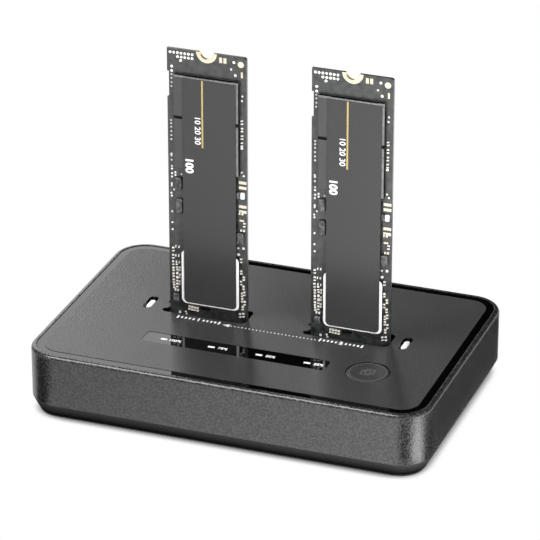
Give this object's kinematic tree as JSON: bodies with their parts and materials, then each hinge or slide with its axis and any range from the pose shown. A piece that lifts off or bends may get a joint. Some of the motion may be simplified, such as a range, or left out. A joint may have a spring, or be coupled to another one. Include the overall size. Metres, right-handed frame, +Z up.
{
  "type": "drive duplicator",
  "caption": "Low desktop dock with a glossy recessed top that holds bare M.2 solid-state drives upright and copies one to the other at the press of a round button.",
  "frame": {"origin": "on the table under the middle of the case, level with the soles of the feet", "axes": "+X to the right along the case, +Y to the rear where the connectors are, +Z up"},
  "size_m": [0.11, 0.0734, 0.093],
  "materials": {
    "case_plastic": "spark-textured black ABS",
    "cover_plastic": "fine-textured black ABS",
    "gloss_black": "polished black acrylic",
    "film": "matte anthracite film",
    "light_guide": "milky polycarbonate",
    "pcb": "black solder mask",
    "gold": "gold-plated copper",
    "socket_plastic": "glass-filled nylon",
    "tin": "tinned",
    "steel_shell": "drawn stainless steel",
    "zinc": "zinc-plated",
    "inlet_plastic": "black nylon",
    "chip": "moulded epoxy",
    "lid": "nickel-plated lid",
    "label": "printed polyester",
    "ceramic": "fired ceramic",
    "led": "clear epoxy",
    "can": "drawn can",
    "coil": "pressed ferrite",
    "foot_rubber": "soft rubber",
    "button_plastic": "polished black ABS",
    "white_ink": "screen-printed ink",
    "gold_foil": "hot-stamped foil"
  },
  "bodies": {
    "dock": {"upper_case": "case_plastic", "bottom_cover": "cover_plastic", "gloss_panel": "gloss_black", "panel_overlay": "film", "progress_light_guide": "light_guide", "status_light_pipes": "light_guide", "main_board": "pcb", "m2_socket_1": "socket_plastic", "m2_socket_2": "socket_plastic", "m2_contacts_1": "tin", "m2_contacts_2": "tin", "usb_c_shell": "steel_shell", "usb_c_tongue": "socket_plastic", "dc_inlet_body": "inlet_plastic", "dc_inlet_pin": "zinc", "power_switch_body": "socket_plastic", "copy_switch_body": "socket_plastic", "bridge_chips": "chip", "control_chip": "chip", "inductors": "coil", "power_capacitors": "can", "crystal": "steel_shell", "progress_leds": "led", "status_leds": "led", "board_screws": "zinc", "case_screws": "zinc", "rubber_feet": "foot_rubber"},
    "copy_button": {"copy_button": "button_plastic", "copy_switch_plunger": "inlet_plastic"},
    "power_button": {"power_button": "case_plastic", "power_switch_plunger": "inlet_plastic"},
    "drive_1": {"drive_1_board": "pcb", "drive_1_contacts": "gold", "drive_1_hole_pad": "gold", "drive_1_pads": "gold", "drive_1_upper_flash": "chip", "drive_1_lower_flash": "chip", "drive_1_memory": "chip", "drive_1_controller": "lid", "drive_1_label": "label", "drive_1_capacitors": "ceramic"},
    "drive_2": {"drive_2_board": "pcb", "drive_2_contacts": "gold", "drive_2_hole_pad": "gold", "drive_2_pads": "gold", "drive_2_upper_flash": "chip", "drive_2_lower_flash": "chip", "drive_2_memory": "chip", "drive_2_controller": "lid", "drive_2_label": "label", "drive_2_capacitors": "ceramic"}
  },
  "joints": [
    {"name": "copy_button_press", "type": "slide", "parent": "dock", "child": "copy_button", "axis": [0, 0, -1], "range_m": [0, 0.0005], "stiffness_N_per_m": 2000},
    {"name": "power_button_press", "type": "slide", "parent": "dock", "child": "power_button", "axis": [0, -1, 0], "range_m": [0, 0.0015], "stiffness_N_per_m": 600},
    {"name": "drive_1_pull", "type": "slide", "parent": "dock", "child": "drive_1", "axis": [0, 0, 1], "range_m": [0, 0.03]},
    {"name": "drive_2_pull", "type": "slide", "parent": "dock", "child": "drive_2", "axis": [0, 0, 1], "range_m": [0, 0.03]}
  ]
}
